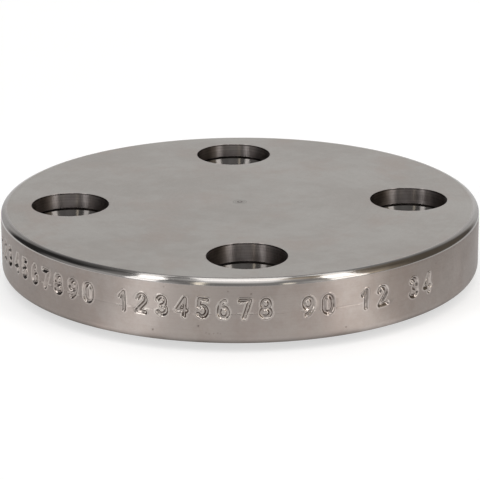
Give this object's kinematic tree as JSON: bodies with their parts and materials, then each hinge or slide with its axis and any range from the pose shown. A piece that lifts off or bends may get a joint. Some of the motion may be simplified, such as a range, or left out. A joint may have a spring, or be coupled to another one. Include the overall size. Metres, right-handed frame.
{
  "type": "blind flange",
  "caption": "Raised-face stainless steel blind flange: a solid round closing plate with a plain back and a ring of through bolt holes.",
  "frame": {"origin": "centre of the raised sealing face, which is the lowest face of the disc", "axes": "+Z along the disc's axis, from the raised sealing face to the plain back face; +X and +Y each point through the centre of a bolt hole"},
  "size_m": [0.0984, 0.0984, 0.0148],
  "materials": {
    "stainless_steel": "turned and faced, satin; edge radii and stamping bright"
  },
  "bodies": {
    "root": {"flange_disc": "stainless_steel"}
  },
  "joints": []
}
